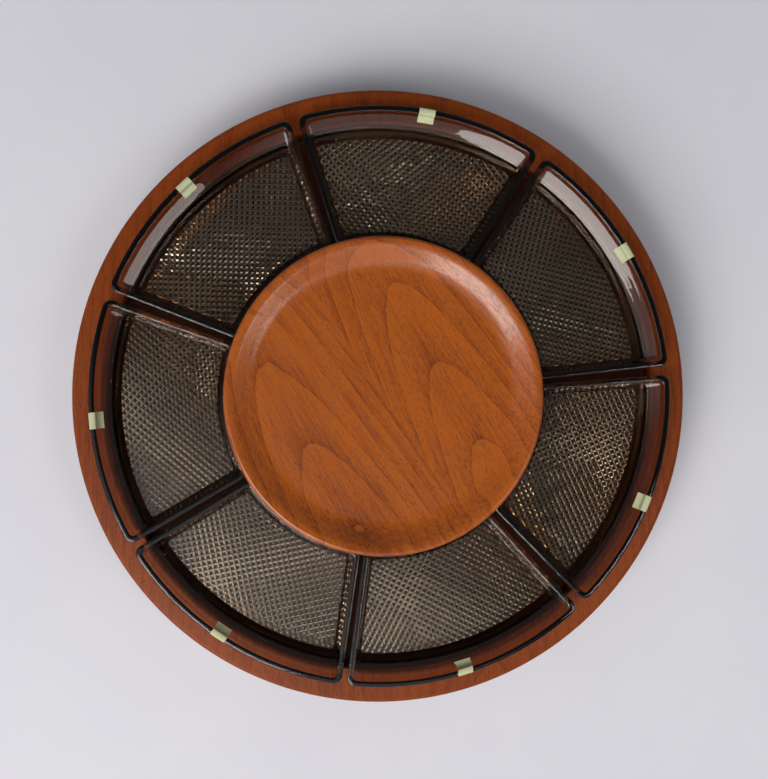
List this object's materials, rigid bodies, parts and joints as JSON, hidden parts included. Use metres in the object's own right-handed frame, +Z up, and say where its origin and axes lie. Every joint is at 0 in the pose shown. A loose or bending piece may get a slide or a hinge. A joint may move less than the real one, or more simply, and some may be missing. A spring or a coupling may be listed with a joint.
{
  "type": "lazy susan turntable",
  "caption": "Round teak turntable on a ball-bearing base, carrying wedge-shaped smoked-glass dishes around a raised lift-off centre plate.",
  "frame": {"origin": "on the turning axis, at the level of the surface the base pads stand on", "axes": "+Z up along the turning axis; +X is the picture's right and +Y its top"},
  "size_m": [0.39, 0.39, 0.0701],
  "materials": {
    "teak_tray": "oiled reddish-brown teak, satin",
    "teak_plate": "oiled orange-brown teak, satin, fine dark pores",
    "teak_base": "oiled teak, satin",
    "smoked_glass": "pressed smoked grey-green glass, gloss, diamond-textured underside",
    "pressed_steel": "zinc-plated pressed sheet",
    "ball_steel": "polished",
    "cage_brass": "satin stamped sheet",
    "screw_brass": "satin, slightly dulled",
    "felt": "dense wool felt",
    "paper_tape": "matt, thin, slightly translucent"
  },
  "bodies": {
    "base": {"base_disc": "teak_base", "base_pad_1": "felt", "base_pad_2": "felt", "base_pad_3": "felt", "base_pad_4": "felt", "lower_race": "pressed_steel", "lower_screw_1": "screw_brass", "lower_screw_2": "screw_brass", "lower_screw_3": "screw_brass", "lower_screw_4": "screw_brass", "pivot_rivet": "pressed_steel", "pivot_washer": "pressed_steel"},
    "cage": {"ball_cage": "cage_brass", "ball_1": "ball_steel", "ball_2": "ball_steel", "ball_3": "ball_steel", "ball_4": "ball_steel", "ball_5": "ball_steel", "ball_6": "ball_steel", "ball_7": "ball_steel", "ball_8": "ball_steel", "ball_9": "ball_steel", "ball_10": "ball_steel", "ball_11": "ball_steel", "ball_12": "ball_steel"},
    "turntable": {"tray": "teak_tray", "pedestal": "teak_tray", "upper_race": "pressed_steel", "upper_screw_1": "screw_brass", "upper_screw_2": "screw_brass", "upper_screw_3": "screw_brass", "upper_screw_4": "screw_brass", "pedestal_screw_1": "screw_brass", "pedestal_screw_2": "screw_brass", "pedestal_screw_3": "screw_brass"},
    "plate": {"centre_plate": "teak_plate"},
    "dish_body_1": {"dish_1": "smoked_glass", "tape_1": "paper_tape"},
    "dish_body_2": {"dish_2": "smoked_glass", "tape_2": "paper_tape"},
    "dish_body_3": {"dish_3": "smoked_glass", "tape_3": "paper_tape"},
    "dish_body_4": {"dish_4": "smoked_glass", "tape_4": "paper_tape"},
    "dish_body_5": {"dish_5": "smoked_glass", "tape_5": "paper_tape"},
    "dish_body_6": {"dish_6": "smoked_glass", "tape_6": "paper_tape"},
    "dish_body_7": {"dish_7": "smoked_glass", "tape_7": "paper_tape"}
  },
  "joints": [
    {"name": "turntable_spin", "type": "hinge", "parent": "base", "child": "turntable", "pos_m": [0, 0, 0], "axis": [0, 0, 1], "continuous": true},
    {"name": "cage_spin", "type": "hinge", "parent": "base", "child": "cage", "pos_m": [0, 0, 0], "axis": [0, 0, 1], "continuous": true},
    {"name": "plate_lift", "type": "slide", "parent": "turntable", "child": "plate", "axis": [0, 0, 1], "range_m": [0, 0.12]},
    {"name": "dish_1_lift", "type": "slide", "parent": "turntable", "child": "dish_body_1", "axis": [0.2932, 0.1762, 0.9397], "range_m": [0, 0.12]},
    {"name": "dish_2_lift", "type": "slide", "parent": "turntable", "child": "dish_body_2", "axis": [0.0457, 0.339, 0.9397], "range_m": [0, 0.12]},
    {"name": "dish_3_lift", "type": "slide", "parent": "turntable", "child": "dish_body_3", "axis": [-0.237, 0.2466, 0.9397], "range_m": [0, 0.12]},
    {"name": "dish_4_lift", "type": "slide", "parent": "turntable", "child": "dish_body_4", "axis": [-0.3405, -0.0327, 0.9397], "range_m": [0, 0.12]},
    {"name": "dish_5_lift", "type": "slide", "parent": "turntable", "child": "dish_body_5", "axis": [-0.1882, -0.2856, 0.9397], "range_m": [0, 0.12]},
    {"name": "dish_6_lift", "type": "slide", "parent": "turntable", "child": "dish_body_6", "axis": [0.1037, -0.3259, 0.9397], "range_m": [0, 0.12]},
    {"name": "dish_7_lift", "type": "slide", "parent": "turntable", "child": "dish_body_7", "axis": [0.3199, -0.1211, 0.9397], "range_m": [0, 0.12]}
  ],
  "couplings": [
    {"joint": "cage_spin", "follows": "turntable_spin", "ratio": 0.5}
  ]
}
